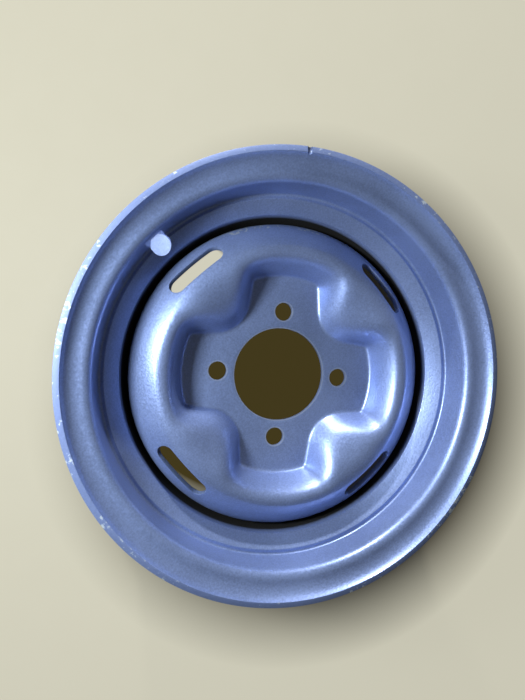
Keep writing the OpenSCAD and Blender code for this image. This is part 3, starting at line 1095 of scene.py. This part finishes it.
# The colour of the painted shadow on the floor.
SHADOW_CLOTH = (0.07, 0.05, 0.02, 1)
DIM_CLOTH, FAIR_CLOTH = (0.40, 0.38, 0.29, 1), (0.46, 0.44, 0.35, 1)
start_fresh()
bpy.ops.mesh.primitive_plane_add(size=FLOOR_SIZE, location=(0, 0, FLOOR_Z))
floor = name_piece("floor")
cream = Finish("pale_floor")
ground = Wheel(cream)
clear = cream.step(ground.distance(SHADOW_AT), SHADOW_R, SHADOW_R + SHADOW_FADE)
cloth = cream.blend(ground.noise(30.0, 4.0), DIM_CLOTH, FAIR_CLOTH)
# Painted shadow: the floor's colour goes dark inside the shadow circle.
cloth = cream.blend(clear, SHADOW_CLOTH, cloth)
# Painted light: the patch glows pale although it lies below the wheel.
spot = 1 - cream.step(ground.distance(PAINTED_LIGHT_SPOT), SPOT_R, SPOT_R + SPOT_FADE)
# Painted shade: the mask below the wheel, less the pale patch.
under = (1 - cream.step(ground.radius, UNDER_R, UNDER_R + UNDER_FADE)) * (1 - spot)
lit = cream.node("ShaderNodeBsdfPrincipled", {"Base Color": cloth, "Roughness": 0.85})
glow = cream.node("ShaderNodeEmission", {"Color": cream.blend(under, CREAM, SHADE), "Strength": 1.0})
camera_ray, glossy_ray, clear_ray = cream.outputs(
    "ShaderNodeLightPath", ("Is Camera Ray", "Is Glossy Ray", "Is Transmission Ray"))
# The glow shows to camera and reflection rays: pale away from the wheel, painted shade below it, and the
# pale patch of painted light.
share = (camera_ray + glossy_ray + clear_ray) * (clear * 0.8 + under + spot * 0.9)
surface = cream.node("ShaderNodeMixShader", {0: share, 1: lit, 2: glow})
cream.node("ShaderNodeOutputMaterial", {"Surface": surface})
wear(floor, cream.material)
print(f"the floor lies at {FLOOR_Z / MM:.1f} mm")

# %% [markdown]
# ## The camera
# The photo looks into the dish from a little to the left of the wheel's axis. Its place
# and turns were solved from the wheel's circles. The three turns below carry the wheel
# into the camera's view, so the camera itself is turned the other way.

# %% The camera
CAMERA_AT = Vector((-0.0733, 0.1117, 0.4430))
ORBIT = [("X", 2.17), ("Y", 14.59), ("Z", 40.65)]
SENSOR, LENS, NEAREST = 36, 29.07, 0.01
to_view = Matrix.Identity(3)
for axis, angle in ORBIT:
    to_view = to_view @ Matrix.Rotation(math.radians(angle), 3, axis)
view_axes = to_view.transposed()
start_fresh()
bpy.ops.object.camera_add(location=CAMERA_AT)
camera = bpy.context.object
camera.rotation_euler = view_axes.to_euler()
camera.data.sensor_width = SENSOR
camera.data.lens = LENS
camera.data.clip_start = NEAREST
bpy.context.scene.camera = camera
print(f"the camera is {CAMERA_AT.length:.2f} m from the bore")

# %% [markdown]
# ## The light
# One near light from the left of the view does most of the work: it makes the left side
# of the dome and the far walls shine and leaves the walls on its own side dark. A small
# light from above the view draws thin lines along the lower rings. The room adds a
# little warm light from all sides.

# %% The lights
WINDOW_WHITE, CEILING_WHITE, ROOM_WHITE = (0.93, 0.98, 1.0), (1.0, 0.98, 0.95), (1.0, 0.95, 0.86, 1)
ROOM_STRENGTH = 0.10


def lamp(name, way, distance, size, power, colour):
    """A square light aimed at the wheel; way is (right, up, towards the camera)."""
    start_fresh()
    direction = (view_axes @ Vector(way)).normalized()
    bpy.ops.object.light_add(type="AREA", radius=1, location=direction * distance)
    light = bpy.context.object
    light.name = light.data.name = name
    light.rotation_euler = direction.to_track_quat("Z", "Y").to_euler()
    light.data.shape = "RECTANGLE"
    light.data.size = light.data.size_y = size
    light.data.energy = power
    light.data.color = colour


lamp("window", (-0.60, 0.17, 0.78), 0.52, 0.10, 3.6, WINDOW_WHITE)
lamp("ceiling", (-0.10, 1.0, 0.34), 1.2, 0.05, 15, CEILING_WHITE)
world = bpy.data.worlds.new("room_light")
bpy.context.scene.world = world
world.use_nodes = True
world.node_tree.nodes["Background"].inputs["Color"].default_value = ROOM_WHITE
world.node_tree.nodes["Background"].inputs["Strength"].default_value = ROOM_STRENGTH
bpy.context.scene.view_settings.view_transform = "Standard"
print("window light, ceiling light and room light are set")
